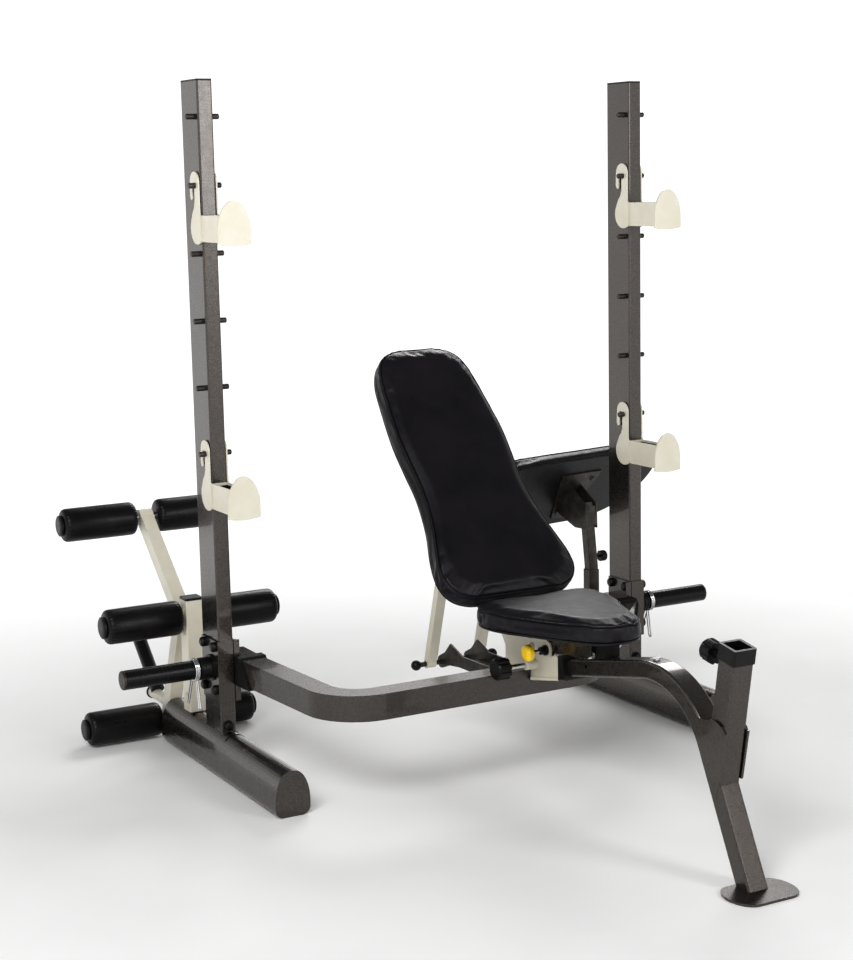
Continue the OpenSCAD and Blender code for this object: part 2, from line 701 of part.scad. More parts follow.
dev_bottom = 109;
dev_top = 392;
knee = [173, 347];
elbow = [224, 338];
arm_top = [470, 553];
arm_low = [345, 46];
lever_w = 34;
lever_d = 38;
axle_r = 10;
module on_left() { translate([-post_x, 0, 0]) children(); }
module lugs(x0, x1) {
  both_sides() side_plate(x0, x1, concat([[store_y - 8, 304], [store_y - 8, 372]],
    arc(elbow[0], elbow[1], 17, 90, -90, 8)));
}
module developer_post() {
  color(cream) place() on_left() difference() {
    union() {
      translate([0, store_y, dev_bottom]) tube(45, 45, 4, wall, dev_top - dev_bottom);
      lugs(22.5, 26.5);
    }
    rod_x(-40, 40, knee[0], knee[1], axle_r);
    rod_x(-40, 40, elbow[0], elbow[1], 6);
    rod_x(-40, -15, store_y - 4, 152, 5);
  }
}
module developer_bushings() {
  color(black) place() on_left() for (z = [dev_bottom, 285]) difference() {
    translate([0, store_y, z]) bar(45 - 2 * wall, 45 - 2 * wall, 1.5, 36);
    translate([0, store_y, z - 1]) bar(stub + 0.2, stub + 0.2, 2, 40);
    rod_x(-40, -15, store_y - 4, 152, 5);
  }
}
module developer_caps() {
  color(black) place() on_left() {
    translate([0, store_y, dev_top]) bar(45, 45, 4, 6);
    translate([0, store_y, dev_top - 12]) bar(45 - 2 * wall, 45 - 2 * wall, 1.5, 12);
    both_sides() axle_cap(knee);
  }
}
roller_in = 28;
module axle_cap(at) {
  difference() {
    translate([roller_in + roller_len + 0.5, at[0], at[1]]) rotate([0, 90, 0]) domed_cap(27, 9);
    rod_x(200, roller_in + roller_len + 4, at[0], at[1], axle_r);
  }
}
module axle(at) { rod_x(-roller_in - roller_len - 4, roller_in + roller_len + 4, at[0], at[1], axle_r); }
module knee_axle() {
  color(chrome) place() on_left() {
    axle(knee);
    rod_x(-32, 32, elbow[0], elbow[1], 6);
  }
}
module lever_leg(from, to) {
  run = to - from;
  across = [-run[1], run[0]] / norm(run) * lever_d / 2;
  side_plate(-lever_w / 2, lever_w / 2, [from + across, to + across, to - across, from - across]);
}
cross_low = [308, 84];
cross_long = 156;
cross_r = 15;
module at_cross_tube(along) { translate([0, cross_low[0] + along, cross_low[1]]) children(); }
module cross_tube() {
  at_cross_tube(0) rotate([-90, 0, 0]) cylinder(h = cross_long, r = cross_r, $fn = 64);
}
module swing_arm() {
  color(cream) place() on_left() difference() {
    union() {
      lever_leg(elbow, arm_top);
      lever_leg(elbow, arm_low);
      for (p = [elbow, arm_top, arm_low])
        rod_x(-lever_w / 2 - 1, lever_w / 2 + 1, p[0], p[1], lever_d / 2 + 1.5);
      cross_tube();
    }
    rod_x(-40, 40, elbow[0], elbow[1], 6 + run_gap);
    rod_x(-40, 40, arm_top[0], arm_top[1], axle_r);
    rod_x(-40, 40, arm_low[0], arm_low[1], axle_r);
  }
}
module arm_axles() {
  color(chrome) place() on_left() {
    axle(arm_top);
    axle(arm_low);
  }
}
module arm_caps() {
  color(black) place() on_left() {
    both_sides() axle_cap(arm_top);
    both_sides() axle_cap(arm_low);
    at_cross_tube(cross_long) rotate([-90, 0, 0]) domed_cap(cross_r + 3, 8);
    difference() {
      at_cross_tube(0) rotate([90, 0, 0]) domed_cap(cross_r + 3, 8);
      lever_leg(elbow, arm_low);
    }
  }
}
dev_horn_at = [430, 98];
dev_horn_rise = 42;
dev_horn_len = 208;
module developer_horn() {
  color(black) place() on_left() difference() {
    leaning(dev_horn_at[0], dev_horn_at[1], dev_horn_rise - 90)
      cylinder(h = dev_horn_len, r = 18, $fn = 64);
    cross_tube();
    block(-40, 40, 300, 500, 0, cross_low[1]);
  }
}
module roller(at, side) {
  half = concat([[axle_r + run_gap, roller_len], [axle_r + run_gap, 0]],
    arc(roller_r - 8, 8, 8, -90, 0, 4), arc(roller_r - 8, roller_len - 8, 8, 0, 90, 4));
  color(foam) place() on_left() mirror([side, 0, 0]) translate([roller_in, at[0], at[1]])
    rotate([0, 90, 0]) rotate_extrude($fn = 96) polygon(half);
}
module roller_top_left() { roller(arm_top, 1); }
module roller_top_right() { roller(arm_top, 0); }
module roller_mid_left() { roller(knee, 1); }
module roller_mid_right() { roller(knee, 0); }
module roller_low_left() { roller(arm_low, 1); }
module roller_low_right() { roller(arm_low, 0); }

// Preacher pad, stored in the right stub

curl_post = 27.8;
curl_bend = 335;
curl_lean = 8;
curl_top = 512;
pad_mid = [75, 535];
pad_tilt = 124.5;
curl_t = 50;
module on_right() { translate([post_x, store_y, 0]) children(); }
module curl_turn() { on_right() rotate([0, 0, curl_yaw]) children(); }
// Local frame of the preacher pad: Z points out of its back, where the bracket sits
module curl_frame() {
  curl_turn() translate([0, pad_mid[0], pad_mid[1]]) rotate([pad_tilt, 0, 0]) children();
}
module preacher_post_solid() {
  on_right() {
    translate([0, 0, 140]) bar(curl_post, curl_post, 2, curl_bend - 140);
    leaning(0, curl_bend, -curl_lean) bar(curl_post, curl_post, 2, curl_top - curl_bend);
    leaning(0, curl_bend, -curl_lean / 2) translate([0, 0, -2]) bar(curl_post, curl_post, 2, 4);
  }
}
module preacher_post() {
  color(steel) place() difference() {
    preacher_post_solid();
    on_right() rod_x(0, 30, 3, 358, 4 + run_gap);
  }
}
// Welded box round the post, which carries the turned cheeks
module preacher_collar() {
  low = 446;
  on_right() leaning((low - curl_bend) * tan(curl_lean), low, -curl_lean) bar(38, 38, 3, 54);
}
module preacher_bracket() {
  color(steel) place() difference() {
    union() {
      curl_frame() linear_extrude(4) polygon([[-75, 70], [75, 70], [34, -95], [-34, -95]]);
      curl_turn() both_sides() side_plate(17.5, 21.5,
        [[-4, 440], [42, 440], [118, 476], [92, 512], [62, 556], [-2, 508]]);
      preacher_collar();
      curl_frame() both_sides() for (p = [[27, -70], [50, 45]]) translate([p[0], p[1], 4])
        cylinder(h = 5, r = 7, $fn = 6);
    }
    curl_frame() translate([-300, -300, -60]) cube([600, 600, 60]);
    preacher_post_solid();
  }
}
module preacher_pad() {
  half = [[0, -130], [80, -128], [170, -112], [245, -72], [292, -12], [curl_len / 2, 45],
    [294, 98], [255, 124], [160, 130], [0, 130]];
  color(vinyl) place() curl_frame() translate([0, 0, -curl_t]) linear_extrude(curl_t)
    polygon(smooth(both_halves(half)));
}
module preacher_knob() {
  color(black) place() on_right() {
    rod_x(5, 34, 3, 358, 4);
    translate([30, 3, 358]) rotate([0, 90, 0]) fluted_knob(15, 18, 6);
  }
}

feet();
uprights();
tube_end_caps();
pegs();
clamp_brackets();
frame_bolts();
bolt_caps();
crossmember();
arm_boots();
weight_horns();
horn_collars();
horn_end_caps();
left_clip();
right_clip();
spine_socket();
spine_sleeve();
spine();
foot_plate();
receiver_post();
receiver_gussets();
receiver_bushing();
receiver_knob();
storage_stubs();
ladder();
bench_pins();
pop_pin_barrel();
pop_pin_knob();
pop_pin_shaft();
socket_knob();
socket_screw();
backrest_pad();
backrest_frame();
strut();
strut_rod();
strut_rod_caps();
seat_pad();
seat_bracket();
seat_stop();
hook_lower_left();
hook_lower_right();
hook_upper_left();
hook_upper_right();
developer_post();
developer_bushings();
developer_caps();
knee_axle();
swing_arm();
arm_axles();
arm_caps();
developer_horn();
roller_top_left();
roller_top_right();
roller_mid_left();
roller_mid_right();
roller_low_left();
roller_low_right();
preacher_post();
preacher_bracket();
preacher_pad();
preacher_knob();
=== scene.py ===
"""Olympic incline bench press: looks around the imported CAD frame.

Everything is in metres in the CAD frame: X to the right, -Y towards the seat end, Z up.
"""

import json
import math

import bmesh
import bpy
import numpy as np
from mathutils import Matrix, Vector
from mathutils.bvhtree import BVHTree
from mathutils.kdtree import KDTree


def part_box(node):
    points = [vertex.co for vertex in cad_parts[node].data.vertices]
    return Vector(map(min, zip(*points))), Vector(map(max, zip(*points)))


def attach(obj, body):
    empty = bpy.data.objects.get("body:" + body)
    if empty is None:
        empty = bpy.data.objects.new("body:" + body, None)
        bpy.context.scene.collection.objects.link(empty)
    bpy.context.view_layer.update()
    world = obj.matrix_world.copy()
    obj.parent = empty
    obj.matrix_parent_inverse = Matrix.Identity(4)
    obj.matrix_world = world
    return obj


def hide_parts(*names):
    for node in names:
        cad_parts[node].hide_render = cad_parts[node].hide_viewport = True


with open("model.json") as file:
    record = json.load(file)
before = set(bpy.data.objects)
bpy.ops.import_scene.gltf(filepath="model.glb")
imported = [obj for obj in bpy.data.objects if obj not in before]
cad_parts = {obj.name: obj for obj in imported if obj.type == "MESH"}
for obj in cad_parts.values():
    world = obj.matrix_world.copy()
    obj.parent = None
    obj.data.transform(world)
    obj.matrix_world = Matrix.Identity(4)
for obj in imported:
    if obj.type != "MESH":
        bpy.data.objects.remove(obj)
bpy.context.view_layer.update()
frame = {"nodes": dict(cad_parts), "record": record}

RECORD = frame["record"]
BODY_OF = {node: body for body, nodes in RECORD["behaviour"]["bodies"].items() for node in nodes}
SLOT_OF = {part["node"]: part["material_slot"] for part in RECORD["subparts"]}
MM = 0.001
UP = Vector((0, 0, 1))


# ---------------------------------------------------------------- materials

class Surface:
    """A Principled material, with short calls for its texture nodes."""

    def __init__(self, name, **constants):
        self.material = bpy.data.materials.new(name)
        self.material.use_nodes = True
        self.tree = self.material.node_tree
        self.shader = self.tree.nodes["Principled BSDF"]
        self.place = self.add("ShaderNodeTexCoord").outputs["Object"]
        for socket, value in constants.items():
            self.shader.inputs[socket.replace("_", " ")].default_value = value

    def add(self, kind, inputs=None, **settings):
        node = self.tree.nodes.new(kind)
        for key, value in settings.items():
            setattr(node, key, value)
        for key, value in (inputs or {}).items():
            self.feed(node.inputs[key], value)
        return node

    def feed(self, socket, value):
        if isinstance(value, bpy.types.NodeSocket):
            self.tree.links.new(value, socket)
        else:
            socket.default_value = value

    def noise(self, scale, detail=3.0, roughness=0.55, stretch=(1, 1, 1)):
        mapped = self.add("ShaderNodeMapping", {"Vector": self.place, "Scale": stretch}).outputs["Vector"]
        inputs = {"Vector": mapped, "Scale": scale, "Detail": detail, "Roughness": roughness}
        return self.add("ShaderNodeTexNoise", inputs).outputs["Fac"]

    def cells(self, scale, feature="F1"):
        inputs = {"Vector": self.place, "Scale": scale}
        return self.add("ShaderNodeTexVoronoi", inputs, feature=feature).outputs["Distance"]

    def remap(self, value, low, high, start=0.3, stop=0.7):
        inputs = {"Value": value, "From Min": start, "From Max": stop, "To Min": low, "To Max": high}
        return self.add("ShaderNodeMapRange", inputs).outputs["Result"]

    def blend(self, factor, first, second):
        node = self.add("ShaderNodeMix", {"Factor": factor}, data_type="RGBA")
        for end, value in (("A", first), ("B", second)):
            self.feed(node.inputs[end], (*value, 1) if isinstance(value, tuple) else value)
        return node.outputs["Result"]

    def colour(self, value):
        self.feed(self.shader.inputs["Base Color"], value)

    def rough(self, value):
        self.feed(self.shader.inputs["Roughness"], value)

    def relief(self, *layers, edge=0.0):
        """Bump from (height, strength, depth) layers, over rounded edges of the given radius."""
        normal = None
        if edge:
            normal = self.add("ShaderNodeBevel", {"Radius": edge}, samples=6).outputs["Normal"]
        for height, strength, depth in layers:
            inputs = {"Height": height, "Strength": strength, "Distance": depth}
            if normal is not None:
                inputs["Normal"] = normal
            normal = self.add("ShaderNodeBump", inputs).outputs["Normal"]
        self.feed(self.shader.inputs["Normal"], normal)
        return self.material


def frame_paint():
    """Grey-brown metallic powder coat with a fine glinting speckle."""
    paint = Surface("frame_paint", Metallic=0.85, Coat_Weight=0.5, Coat_Roughness=0.05)
    flake = paint.remap(paint.noise(1100, 2.0, 0.6), 0, 1, 0.38, 0.66)
    speckle = paint.blend(flake, (0.03, 0.026, 0.023), (0.135, 0.12, 0.108))
    cloud = paint.remap(paint.noise(9, 2.0), 0, 0.25)
    paint.colour(paint.blend(cloud, speckle, (0.06, 0.053, 0.047)))
    paint.rough(paint.remap(paint.noise(60, 3.0), 0.25, 0.32))
    return paint.relief((paint.noise(420, 2.0), 0.05, 0.0004), (flake, 0.03, 0.0002), edge=0.0015)


def cream_paint():
    """Cream powder coat with orange peel and a trace of handling dirt."""
    paint = Surface("cream_paint", Coat_Weight=0.25, Coat_Roughness=0.2)
    cloud = paint.remap(paint.noise(16, 4.0), 0, 1, 0.35, 0.75)
    base = paint.blend(cloud, (0.66, 0.63, 0.53), (0.60, 0.56, 0.45))
    grime = paint.remap(paint.noise(90, 6.0, 0.7), 0, 0.35, 0.62, 0.8)
    paint.colour(paint.blend(grime, base, (0.50, 0.455, 0.36)))
    paint.rough(paint.remap(paint.noise(45, 3.0), 0.3, 0.44))
    return paint.relief((paint.noise(700, 2.0), 0.14, 0.0004), edge=0.0012)


def grey_steel():
    """Dark grey paint on steel, rubbed a little brighter in patches."""
    steel = Surface("grey_steel", Metallic=0.6)
    cloud = steel.remap(steel.noise(30, 5.0, 0.65), 0, 1, 0.4, 0.72)
    steel.colour(steel.blend(cloud, (0.036, 0.032, 0.028), (0.085, 0.076, 0.068)))
    steel.rough(steel.remap(steel.noise(80, 4.0), 0.32, 0.5))
    return steel.relief((steel.noise(520, 3.0), 0.12, 0.0004), edge=0.001)


def moulded(name, colour, light, rough, edge=0.001, **constants):
    """Moulded plastic or rubber with a fine spark grain."""
    plastic = Surface(name, **constants)
    cloud = plastic.remap(plastic.noise(26, 4.0), 0, 1)
    plastic.colour(plastic.blend(cloud, colour, light))
    plastic.rough(plastic.remap(plastic.noise(140, 4.0), rough - 0.06, rough + 0.08))
    grain = plastic.cells(2100)
    return plastic.relief((grain, 0.16, 0.0003), (plastic.noise(55, 2.0), 0.05, 0.0008), edge=edge)


def horn_sleeve():
    """Black plastic sleeve with faint scuffs round it from the plates."""
    sleeve = Surface("horn_sleeve", Specular_IOR_Level=0.25)
    scuff = sleeve.remap(sleeve.noise(22, 6.0, 0.7, (9, 1, 1)), 0, 0.6, 0.56, 0.8)
    sleeve.colour(sleeve.blend(scuff, (0.006, 0.006, 0.0065), (0.03, 0.029, 0.028)))
    sleeve.rough(sleeve.remap(scuff, 0.27, 0.5, 0, 1))
    return sleeve.relief((sleeve.noise(300, 3.0, 0.6, (4, 1, 1)), 0.1, 0.0004), edge=0.001)


def chrome():
    """Bright plating with fine polishing marks."""
    metal = Surface("chrome", Metallic=1.0)
    cloud = metal.remap(metal.noise(40, 3.0), 0, 1)
    metal.colour(metal.blend(cloud, (0.66, 0.665, 0.68), (0.54, 0.54, 0.55)))
    metal.rough(metal.remap(metal.noise(160, 4.0, 0.6, (6, 1, 1)), 0.1, 0.24))
    return metal.relief((metal.noise(600, 2.0, 0.5, (6, 1, 1)), 0.05, 0.0002), edge=0.0006)


def vinyl():
    """Black upholstery vinyl: pebble grain, soft creases and a slightly uneven sheen."""
    skin = Surface("vinyl", Specular_IOR_Level=0.26)
    tone = skin.remap(skin.noise(9, 4.0), 0, 1)
    skin.colour(skin.blend(tone, (0.0045, 0.0038, 0.0052), (0.0105, 0.0088, 0.0115)))
    skin.rough(skin.remap(skin.noise(34, 5.0, 0.6), 0.34, 0.47))
    pebble = skin.cells(1150, "SMOOTH_F1")
    crease = skin.noise(24, 5.0, 0.62, (1, 1.6, 1))
    return skin.relief((crease, 0.16, 0.004), (pebble, 0.3, 0.0004))


def roller_foam():
    """Shiny black skin over foam, with faint lengthwise creases."""
    skin = Surface("foam", Specular_IOR_Level=0.24)
    tone = skin.remap(skin.noise(20, 4.0), 0, 1)
    skin.colour(skin.blend(tone, (0.0035, 0.0032, 0.0034), (0.0095, 0.0082, 0.0085)))
    skin.rough(skin.remap(skin.noise(60, 5.0, 0.6), 0.26, 0.42))
    crease = skin.noise(36, 5.0, 0.6, (0.35, 1, 1))
    return skin.relief((crease, 0.25, 0.003), (skin.cells(1500, "SMOOTH_F1"), 0.2, 0.0003))


def yellow_plastic():
    return moulded("yellow_plastic", (0.93, 0.62, 0.008), (0.86, 0.54, 0.006), 0.3, Coat_Weight=0.2)


MATERIALS = {
    "frame_paint": frame_paint(),
    "cream_paint": cream_paint(),
    "grey_steel": grey_steel(),
    "black_plastic": moulded("black_plastic", (0.005, 0.005, 0.0055), (0.011, 0.011, 0.0115), 0.34,
                             Specular_IOR_Level=0.25),
    "black_rubber": moulded("black_rubber", (0.007, 0.0067, 0.0064), (0.014, 0.0133, 0.0125), 0.6,
                            Specular_IOR_Level=0.2),
    "horn_sleeve": horn_sleeve(),
    "chrome": chrome(),
    "yellow_plastic": yellow_plastic(),
    "vinyl": vinyl(),
    "foam": roller_foam(),
}


def wear(piece, slot):
    piece.data.materials.clear()
    piece.data.materials.append(MATERIALS[slot])
    return piece


for node, part in frame["nodes"].items():
    part.data.materials.clear()
    part.data.materials.append(MATERIALS[SLOT_OF[node]])


# ---------------------------------------------------------------- mesh helpers

def new_piece(name, slot, body, points, faces, smooth=True):
    mesh = bpy.data.meshes.new(name)
    mesh.from_pydata([tuple(p) for p in points], [], faces)
    mesh.validate()
    mesh.polygons.foreach_set("use_smooth", [smooth] * len(mesh.polygons))
    piece = bpy.data.objects.new(name, mesh)
    bpy.context.scene.collection.objects.link(piece)
    wear(piece, slot)
    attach(piece, body)
    return piece


def rings_to_faces(rings, count, closed_along=False):
    """Quads between rings of the same number of points."""
    faces = []
    for i in range(rings if closed_along else rings - 1):
        a, b = i * count, (i + 1) % rings * count
        faces += [(a + k, a + (k + 1) % count, b + (k + 1) % count, b + k) for k in range(count)]
    return faces


def tube_points(path, radius, sides=8, ripple=0.0):
    """Rings round a closed path. ripple makes the radius swell and shrink along it, as a weld does."""
    points = []
    across = None
    for i, here in enumerate(path):
        along = (path[(i + 1) % len(path)] - path[i - 1]).normalized()
        side = along.cross(UP if abs(along.z) < 0.9 else Vector((1, 0, 0))) if across is None else across
        across = (side - along * side.dot(along)).normalized()
        other = along.cross(across)
        r = radius * (1 + ripple * math.sin(i * 2.1))
        turns = [2 * math.pi * k / sides for k in range(sides)]
        points += [here + across * r * math.cos(t) + other * r * math.sin(t) for t in turns]
    return points


def closed_tube(name, slot, body, path, radius, ripple=0.0):
    sides = 8
    points = tube_points(path, radius, sides, ripple)
    return new_piece(name, slot, body, points, rings_to_faces(len(path), sides, True))


def even_loop(path, step):
    """The closed path again, with points the given distance apart."""
    loop = path + path[:1]
    lengths = [(b - a).length for a, b in zip(loop, loop[1:])]
    count = max(8, round(sum(lengths) / step))
    at = np.concatenate(([0], np.cumsum(lengths)))
    wanted = np.linspace(0, at[-1], count, endpoint=False)
    axes = [np.interp(wanted, at, [p[k] for p in loop]) for k in range(3)]
    return [Vector(p) for p in zip(*axes)]


# ---------------------------------------------------------------- cushions

class PadShape:
    """Outline and directions of a CAD pad: its flat front faces `out`."""

    def __init__(self, node, toward):
        mesh = frame["nodes"][node].data
        areas = {}
        for face in mesh.polygons:
            key = tuple(round(c, 2) for c in face.normal)
            areas[key] = areas.get(key, 0) + face.area
        front = [key for key in areas if Vector(key).dot(toward.normalized()) > 0.3]
        self.out = Vector(max(front, key=areas.get)).normalized()
        self.right = Vector((1, 0, 0)) - self.out * self.out.x
        self.right.normalize()
        self.up = self.out.cross(self.right)
        flat = {(round(v.co.dot(self.right), 5), round(v.co.dot(self.up), 5)) for v in mesh.vertices}
        heights = [v.co.dot(self.out) for v in mesh.vertices]
        self.back, self.front = min(heights), max(heights)
        middle = np.mean(list(flat), axis=0)
        ordered = sorted(flat, key=lambda p: math.atan2(p[1] - middle[1], p[0] - middle[0]))
        loop = even_loop([Vector((p[0], p[1], 0)) for p in ordered], 0.006)
        self.outline = [p.to_2d() for p in loop]

    def ring(self, inset, height):
        """The outline moved in by inset, at a height above the pad's back."""
        points = []
        for i, here in enumerate(self.outline):
            along = (self.outline[(i + 1) % len(self.outline)] - self.outline[i - 1]).normalized()
            inner = here + Vector((-along.y, along.x)) * inset
            points.append(self.right * inner.x + self.up * inner.y + self.out * (self.back + height))
        return points


def inflate(piece, fixed, pressure, cap, frames=20):
    """Cloth with air pressure inside. Points in `fixed` stay, and no point moves further than cap."""
    count = len(piece.data.vertices)
    before = np.empty(count * 3)
    piece.data.vertices.foreach_get("co", before)
    pins = piece.vertex_groups.new(name="pins")
    pins.add([int(i) for i in np.flatnonzero(fixed)], 1.0, "REPLACE")
    cloth = piece.modifiers.new("Cloth", "CLOTH")
    cloth.settings.use_pressure = True
    cloth.settings.uniform_pressure_force = pressure
    cloth.settings.effector_weights.gravity = 0
    cloth.settings.vertex_group_mass = pins.name
    cloth.settings.tension_stiffness = 20
    cloth.settings.compression_stiffness = 20
    cloth.settings.bending_stiffness = 0.6
    for number in range(1, frames + 1):
        bpy.context.scene.frame_set(number)
    settled = piece.evaluated_get(bpy.context.evaluated_depsgraph_get())
    after = np.empty(count * 3)
    settled.data.vertices.foreach_get("co", after)
    piece.modifiers.remove(cloth)
    piece.vertex_groups.remove(pins)
    bpy.context.scene.frame_set(1)
    move = (after - before).reshape(-1, 3)
    reach = np.linalg.norm(move, axis=1, keepdims=True)
    move *= np.minimum(1, cap / np.maximum(reach, 1e-9))
    piece.data.vertices.foreach_set("co", (before.reshape(-1, 3) + move).ravel())


def apply_modifiers(piece):
    settled = piece.evaluated_get(bpy.context.evaluated_depsgraph_get())
    mesh = bpy.data.meshes.new_from_object(settled)
    piece.modifiers.clear()
    old = piece.data
    piece.data = mesh
    bpy.data.meshes.remove(old)


def remesh(piece, voxel):
    modifier = piece.modifiers.new("Remesh", "REMESH")
    modifier.mode = "VOXEL"
    modifier.voxel_size = voxel
    apply_modifiers(piece)


def relax(piece, rounds):
    mesh = bmesh.new()
    mesh.from_mesh(piece.data)
    every_axis = {"use_axis_x": True, "use_axis_y": True, "use_axis_z": True}
    for _ in range(rounds):
        bmesh.ops.smooth_vert(mesh, verts=mesh.verts, factor=0.5, **every_axis)
    mesh.to_mesh(piece.data)
    mesh.free()


def sink_seam(piece, path, depth, width):
    """Presses a groove into the piece along a path that lies on it."""
    tree = KDTree(len(path))
    for i, point in enumerate(path):
        tree.insert(point, i)
    tree.balance()
    for vertex in piece.data.vertices:
        near = tree.find(vertex.co)[2]
        if near < 3 * width:
            vertex.co -= vertex.normal * depth * math.exp(-((near / width) ** 2))


def surface_tree(mesh):
    return BVHTree.FromPolygons([v.co for v in mesh.vertices], [tuple(f.vertices) for f in mesh.polygons])


def onto(piece, path):
    """The path laid on the piece's surface."""
    tree = surface_tree(piece.data)
    return [tree.find_nearest(point)[0] for point in path]


BOARD = 5 * MM


def cushion(name, node, toward, crown, shrink):
    """A boxed vinyl cushion: front panel, side band, welt on the seam, and a board behind."""
    body = BODY_OF[node]
    shape = PadShape(node, toward)
    thick = shape.front - shape.back
    profile = [(14, BOARD), (5, BOARD), (1, 9 * MM), (0, 15 * MM), (0, thick - 16 * MM),
               (1, thick - 9 * MM), (4.5, thick - 4 * MM), (11, thick - 1.5 * MM), (24, thick)]
    rings = [shape.ring(inset * MM + shrink, height) for inset, height in profile]
    count = len(shape.outline)
    points = [p for ring in rings for p in ring]
    faces = rings_to_faces(len(rings), count)
    faces += [tuple(reversed(range(count))), tuple(range(count * (len(rings) - 1), count * len(rings)))]
    piece = new_piece(name, "vinyl", body, points, faces)
    remesh(piece, 5 * MM)
    relax(piece, 4)
    heights = np.array([v.co.dot(shape.out) - shape.back for v in piece.data.vertices])
    inflate(piece, heights < BOARD + 2 * MM, 4.0, crown)
    relax(piece, 2)
    seam = onto(piece, even_loop(shape.ring(shrink + 2 * MM, thick - 3.5 * MM), 3 * MM))
    smoother = piece.modifiers.new("Subdivision", "SUBSURF")
    smoother.levels = smoother.render_levels = 1
    apply_modifiers(piece)
    sink_seam(piece, seam, 2.2 * MM, 3.2 * MM)
    piece.data.polygons.foreach_set("use_smooth", [True] * len(piece.data.polygons))
    wear(piece, "vinyl")
    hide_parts(node)
    welt = closed_tube(name + "_welt", "vinyl", body, seam, 1.7 * MM)
    plate(name + "_board", "black_plastic", body, shape, 9 * MM, 0.4 * MM, BOARD + 0.6 * MM)
    return piece, welt, shape


def plate(name, slot, body, shape, inset, low, high):
    """A flat board with the pad's outline and softened edges."""
    rings = [shape.ring(inset + 1.5 * MM, low), shape.ring(inset, low + 1.2 * MM), shape.ring(inset, high)]
    count = len(shape.outline)
    points = [p for ring in rings for p in ring]
    faces = rings_to_faces(3, count) + [tuple(reversed(range(count))), tuple(range(2 * count, 3 * count))]
    return new_piece(name, slot, body, points, faces, smooth=False)


cushion("backrest_cushion", "backrest_pad", Vector((0, -1, 1)), 7 * MM, 3 * MM)
cushion("seat_cushion", "seat_pad", UP, 7 * MM, 3 * MM)
pad_middle = sum(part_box("preacher_pad"), Vector()) / 2
bracket_middle = sum(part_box("preacher_bracket"), Vector()) / 2
cushion("preacher_cushion", "preacher_pad", pad_middle - bracket_middle, 7 * MM, 3 * MM)


# ---------------------------------------------------------------- foam rollers

PLEATS = 30


def foam_roller(node):
    """A covered foam roller: barrel shape, rounded shoulders, and a gathered end round the hub cap."""
    low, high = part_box(node)
    middle = (low + high) / 2
    length = high.x - low.x
    radius = (high.z - low.z) / 2
    bore = 10.4 * MM
    end = [(0.6, bore, 0), (0.3, 0.45 * radius, 0.3), (1.2, 0.7 * radius, 0.9), (3.4, 0.85 * radius, 1.3),
           (6.8, 0.945 * radius, 1.2), (11, 0.985 * radius, 0.6), (17, 0.997 * radius, 0.2)]
    profile = [(low.x + x * MM, r, pleat * MM) for x, r, pleat in end]
    for i in range(1, 8):
        t = i / 8
        swell = 0.997 + 0.003 * math.sin(math.pi * t)
        profile.append((low.x + 17 * MM + t * (length - 34 * MM), radius * swell, 0))
    profile += [(high.x - x * MM, r, pleat * MM) for x, r, pleat in reversed(end)]
    profile.append((high.x - 0.6 * MM, bore, 0))
    profile.append((low.x + 0.6 * MM, bore, 0))
    sides = PLEATS * 6
    points = []
    for x, r, pleat in profile:
        for k in range(sides):
            turn = 2 * math.pi * k / sides
            depth = pleat * (0.5 + 0.5 * math.cos(turn * PLEATS + 0.6 * math.sin(3 * turn)))
            reach = r - depth
            points.append((x, middle.y + reach * math.cos(turn), middle.z + reach * math.sin(turn)))
    faces = rings_to_faces(len(profile), sides)
    piece = new_piece(node + "_foam", "foam", BODY_OF[node], points, faces)
    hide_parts(node)
    return piece


for node in RECORD["physics"]["collision_pieces"]:
    if node.startswith("roller_"):
        foam_roller(node)


# ---------------------------------------------------------------- bar hooks

def open_box(name, slot, body, low, high, wall):
    """A tray, open at the top, from one outer and one inner shell."""
    inner_low = low + Vector((wall, wall, wall))
    inner_high = Vector((high.x - wall, high.y - wall, high.z))
    loops = []
    for a, b, z in ((low, high, low.z), (low, high, high.z), (inner_low, inner_high, high.z),
                    (inner_low, inner_high, inner_low.z)):
        loops += [(a.x, a.y, z), (b.x, a.y, z), (b.x, b.y, z), (a.x, b.y, z)]
    faces = rings_to_faces(4, 4) + [(3, 2, 1, 0), (12, 13, 14, 15)]
    return new_piece(name, slot, body, loops, faces, smooth=False)


PEG_BELOW_TOP = 32.5 * MM
PEG_BEHIND_GUARD = 165 * MM
for level in ("lower", "upper"):
    for side in ("left", "right"):
        node = f"hook_{level}_{side}"
        low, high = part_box(node)
        peg = Vector(((low.x + high.x) / 2, low.y + PEG_BEHIND_GUARD, high.z - PEG_BELOW_TOP))
        tray_low = peg + Vector((-17.3, -157.8, -116.4)) * MM
        tray_high = peg + Vector((17.3, -25.7, -74)) * MM
        open_box(node + "_liner", "black_rubber", BODY_OF[node], tray_low, tray_high, 2 * MM)


# ---------------------------------------------------------------- welds

def drop_onto(node, path, lift):
    """The path, lowered straight down onto a CAD node."""
    tree = surface_tree(frame["nodes"][node].data)
    laid = []
    for point in path:
        spot = tree.ray_cast(Vector((point.x, point.y, 1.0)), -UP)[0]
        laid.append((spot if spot else point) + UP * lift)
    return laid


def rectangle(middle, width, depth, step=3 * MM):
    w, d = width / 2, depth / 2
    corners = [Vector((middle.x + x, middle.y + y, 0)) for x, y in ((w, d), (-w, d), (-w, -d), (w, -d))]
    return even_loop(corners, step)


def weld_at_foot(name, middle, width, depth):
    path = drop_onto("feet", rectangle(middle, width, depth), 0.3 * MM)
    closed_tube(name, "frame_paint", "rack", path, 2.2 * MM, ripple=0.14)


